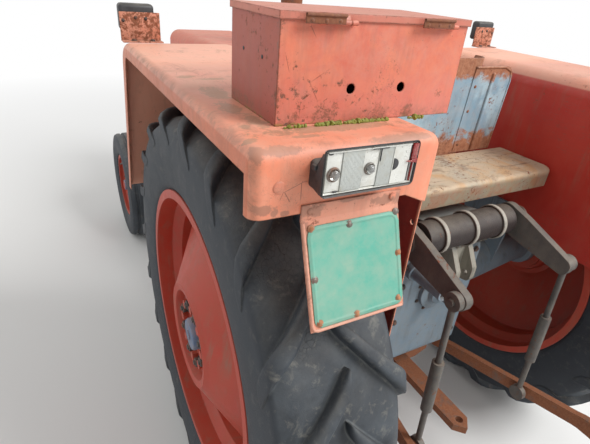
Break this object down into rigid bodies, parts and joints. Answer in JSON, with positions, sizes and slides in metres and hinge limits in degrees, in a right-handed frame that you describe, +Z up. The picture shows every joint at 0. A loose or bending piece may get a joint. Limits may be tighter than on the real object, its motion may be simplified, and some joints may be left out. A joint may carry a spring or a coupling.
{
  "type": "farm tractor",
  "caption": "Farm tractor with rear drive, big lugged rear wheels under flat-topped fenders, open seat and deck, a toolbox on one fender and a rear linkage for implements.",
  "frame": {"origin": "on the ground under the middle of the overall box, with the linkage at its rest height", "axes": "+Y forwards, +X to the driver's right, +Z up; the wheels turn about X"},
  "size_m": [1.774, 3.3501, 2.04],
  "materials": {
    "casting_paint": "worn blue-grey enamel over castings, oily and rusty at edges",
    "wheel_paint": "faded orange-red enamel with dirt and rust",
    "fender_paint": "sun-faded salmon red enamel, chalky, rusty at edges",
    "hood_paint": "faded red enamel",
    "toolbox_paint": "faded brick red enamel with scratches",
    "deck_paint": "beige paint worn through to rust",
    "seat_paint": "light blue paint with rust runs",
    "worn_steel": "bare and rusty steel",
    "black_plastic": "black, worn",
    "tyre": "dusty rubber",
    "lamp_black": "black housing with a pale reflector",
    "exhaust_iron": "rusty and sooty",
    "headlamp_glass": "bright bezel and glass"
  },
  "bodies": {
    "chassis": {"gearbox": "casting_paint", "rear_axle": "casting_paint", "lift_cover": "casting_paint", "drawbar": "worn_steel", "engine_block": "casting_paint", "engine_fittings": "black_plastic", "exhaust": "exhaust_iron", "radiator": "black_plastic", "front_support": "casting_paint", "front_axle": "casting_paint", "hood": "hood_paint", "grille": "hood_paint", "headlamps": "headlamp_glass", "dashboard": "black_plastic", "steering_column": "black_plastic", "seat": "seat_paint", "deck": "deck_paint", "fender_left": "fender_paint", "fender_right": "fender_paint", "toolbox": "toolbox_paint", "tail_lamps": "lamp_black", "number_plate": "fender_paint", "footplates": "deck_paint", "controls": "worn_steel"},
    "rear_wheel_left": {"rear_tyre_left": "tyre", "rear_rim_left": "wheel_paint"},
    "rear_wheel_right": {"rear_tyre_right": "tyre", "rear_rim_right": "wheel_paint"},
    "front_wheel_left": {"front_tyre_left": "tyre", "front_rim_left": "wheel_paint"},
    "front_wheel_right": {"front_tyre_right": "tyre", "front_rim_right": "wheel_paint"},
    "knuckle_left": {"knuckle_left": "worn_steel"},
    "knuckle_right": {"knuckle_right": "worn_steel"},
    "tie_rod": {"tie_rod": "worn_steel"},
    "drop_arm": {"pitman_arm": "worn_steel"},
    "drag_link": {"drag_link": "worn_steel"},
    "steering_wheel": {"steering_wheel": "black_plastic"},
    "toolbox_lid": {"toolbox_lid": "toolbox_paint"},
    "fan": {"fan": "worn_steel"},
    "lift_arms": {"lift_arms": "casting_paint"},
    "lift_rod_left": {"lift_rod_left": "worn_steel"},
    "lift_rod_right": {"lift_rod_right": "worn_steel"},
    "lower_link_left": {"lower_link_left": "worn_steel"},
    "lower_link_right": {"lower_link_right": "worn_steel"}
  },
  "joints": [
    {"name": "rear_wheel_left_turns", "type": "hinge", "parent": "chassis", "child": "rear_wheel_left", "pos_m": [-0.7, -0.875, 0.7325], "axis": [1, 0, 0], "continuous": true},
    {"name": "rear_wheel_right_turns", "type": "hinge", "parent": "chassis", "child": "rear_wheel_right", "pos_m": [0.7, -0.875, 0.7325], "axis": [1, 0, 0], "continuous": true},
    {"name": "front_wheel_left_turns", "type": "hinge", "parent": "knuckle_left", "child": "front_wheel_left", "pos_m": [-0.68, 1.175, 0.372], "axis": [1, 0, 0], "continuous": true},
    {"name": "front_wheel_right_turns", "type": "hinge", "parent": "knuckle_right", "child": "front_wheel_right", "pos_m": [0.68, 1.175, 0.372], "axis": [1, 0, 0], "continuous": true},
    {"name": "steering_left", "type": "hinge", "parent": "chassis", "child": "knuckle_left", "pos_m": [-0.55, 1.175, 0.372], "axis": [0, 0, 1], "range_deg": [-38, 38]},
    {"name": "steering_right", "type": "hinge", "parent": "chassis", "child": "knuckle_right", "pos_m": [0.55, 1.175, 0.372], "axis": [0, 0, 1], "range_deg": [-38, 38]},
    {"name": "tie_rod_pivot", "type": "hinge", "parent": "knuckle_left", "child": "tie_rod", "pos_m": [-0.55, 1.01, 0.421], "axis": [0, 0, 1], "range_deg": [-38, 38]},
    {"name": "drop_arm_turns", "type": "hinge", "parent": "chassis", "child": "drop_arm", "pos_m": [-0.389, 0.08, 1], "axis": [1, 0, 0], "range_deg": [-38, 38]},
    {"name": "drag_link_pivot", "type": "hinge", "parent": "drop_arm", "child": "drag_link", "pos_m": [-0.41, 0.08, 0.86], "axis": [1, 0, 0], "range_deg": [-38, 38]},
    {"name": "steering_wheel_turns", "type": "hinge", "parent": "chassis", "child": "steering_wheel", "pos_m": [0, -0.23, 1.5], "axis": [0, -0.5299, 0.848], "range_deg": [-456, 456]},
    {"name": "toolbox_lid_opens", "type": "hinge", "parent": "chassis", "child": "toolbox_lid", "pos_m": [-0.6, -1.3175, 1.7223], "axis": [1, 0, 0], "range_deg": [0, 100]},
    {"name": "fan_turns", "type": "hinge", "parent": "chassis", "child": "fan", "pos_m": [0, 0.89, 0.96], "axis": [0, 1, 0], "continuous": true},
    {"name": "lift_arms_raise", "type": "hinge", "parent": "chassis", "child": "lift_arms", "pos_m": [0, -1.137, 1.108], "axis": [-1, 0, 0], "range_deg": [-12, 45]},
    {"name": "lift_rod_left_pivot", "type": "hinge", "parent": "lift_arms", "child": "lift_rod_left", "pos_m": [-0.252, -1.35916, 1.04847], "axis": [-1, 0, 0], "range_deg": [-50.59, 14.22]},
    {"name": "lower_link_left_swings", "type": "hinge", "parent": "chassis", "child": "lower_link_left", "pos_m": [-0.205, -0.975, 0.43], "axis": [-1, 0, 0], "range_deg": [-7.78, 26.42]},
    {"name": "lift_rod_right_pivot", "type": "hinge", "parent": "lift_arms", "child": "lift_rod_right", "pos_m": [0.252, -1.35916, 1.04847], "axis": [-1, 0, 0], "range_deg": [-50.59, 14.22]},
    {"name": "lower_link_right_swings", "type": "hinge", "parent": "chassis", "child": "lower_link_right", "pos_m": [0.205, -0.975, 0.43], "axis": [-1, 0, 0], "range_deg": [-7.78, 26.42]}
  ],
  "couplings": [
    {"joint": "steering_right", "follows": "steering_left", "ratio": 1},
    {"joint": "tie_rod_pivot", "follows": "steering_left", "ratio": -1},
    {"joint": "drop_arm_turns", "follows": "steering_left", "ratio": 1},
    {"joint": "drag_link_pivot", "follows": "steering_left", "ratio": -1},
    {"joint": "steering_wheel_turns", "follows": "steering_left", "ratio": 12},
    {"joint": "lift_rod_left_pivot", "follows": "lift_arms_raise", "ratio": -1.102},
    {"joint": "lift_rod_right_pivot", "follows": "lift_arms_raise", "ratio": -1.102},
    {"joint": "lower_link_left_swings", "follows": "lift_arms_raise", "ratio": 0.565},
    {"joint": "lower_link_right_swings", "follows": "lift_arms_raise", "ratio": 0.565}
  ]
}
